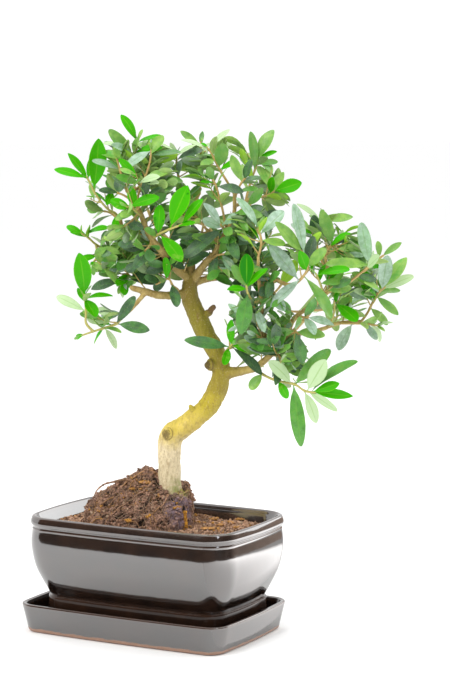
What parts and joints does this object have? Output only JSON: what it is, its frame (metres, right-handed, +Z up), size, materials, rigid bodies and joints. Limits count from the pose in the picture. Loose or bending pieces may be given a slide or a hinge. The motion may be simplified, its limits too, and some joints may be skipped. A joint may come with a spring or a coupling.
{
  "type": "olive bonsai",
  "caption": "Small olive tree with a bent trunk and leafy sprays, in a glossy rounded-rectangle bonsai pot standing in its drip tray.",
  "frame": {"origin": "centre of the drip tray's flat underside", "axes": "+Z up along the tree's height, X along the pot's length, -Y the pot's front"},
  "size_m": [0.2433, 0.1727, 0.3571],
  "materials": {
    "tray_glaze": "glossy black glazed stoneware, bare clay at the bottom edge",
    "pot_glaze": "glossy black glazed stoneware",
    "mesh_plastic": "moulded plastic net",
    "potting_soil": "loose dark peat mix",
    "root_ball": "fibrous peat with fine roots and bark chips",
    "olive_wood": "smooth olive bark, pale grey at the foot, gold to olive brown above",
    "olive_leaf": "leathery olive leaves, glossy above and pale grey-green beneath"
  },
  "bodies": {
    "root": {"tray": "tray_glaze", "pot": "pot_glaze", "drain_mesh_left": "mesh_plastic", "drain_mesh_right": "mesh_plastic", "potting_soil": "potting_soil", "root_ball": "root_ball", "olive_wood": "olive_wood", "spray_crest_left": "olive_leaf", "spray_inner_left": "olive_leaf", "spray_left_tall": "olive_leaf", "spray_left_shoulder": "olive_leaf", "spray_left_wing": "olive_leaf", "spray_left_brow": "olive_leaf", "spray_left_mid": "olive_leaf", "spray_left_low": "olive_leaf", "spray_left_under": "olive_leaf", "spray_left_over": "olive_leaf", "spray_mid_left": "olive_leaf", "spray_low_centre": "olive_leaf", "spray_front_twig": "olive_leaf", "spray_broad_bright": "olive_leaf", "spray_mid_top": "olive_leaf", "spray_top_spire": "olive_leaf", "spray_top_arch": "olive_leaf", "spray_mid_bright": "olive_leaf", "spray_crown_front": "olive_leaf", "spray_top_right": "olive_leaf", "spray_right_top": "olive_leaf", "spray_mid_dark": "olive_leaf", "spray_fork_tip": "olive_leaf", "spray_fork_mid": "olive_leaf", "spray_fork_low": "olive_leaf", "spray_silver_pair": "olive_leaf", "spray_bright_trio": "olive_leaf", "spray_heart_left": "olive_leaf", "spray_right_heart": "olive_leaf", "spray_two_tone": "olive_leaf", "spray_right_spur": "olive_leaf", "spray_upper_right": "olive_leaf", "spray_upper_back": "olive_leaf", "spray_right_tip": "olive_leaf", "spray_right_low": "olive_leaf", "spray_heart_leaf": "olive_leaf", "spray_arm_low": "olive_leaf", "spray_node_low": "olive_leaf", "spray_mass_left": "olive_leaf", "spray_mass_low": "olive_leaf", "spray_trunk_spray": "olive_leaf", "spray_low_dark": "olive_leaf", "spray_low_right": "olive_leaf", "spray_left_inner": "olive_leaf", "spray_left_fill": "olive_leaf", "spray_back_top_low": "olive_leaf", "spray_back_top_end": "olive_leaf", "spray_back_left_end": "olive_leaf", "spray_back_left_low": "olive_leaf", "spray_back_right_end": "olive_leaf", "spray_back_right_high": "olive_leaf", "spray_back_low_end": "olive_leaf", "spray_back_low_side": "olive_leaf"}
  },
  "joints": []
}
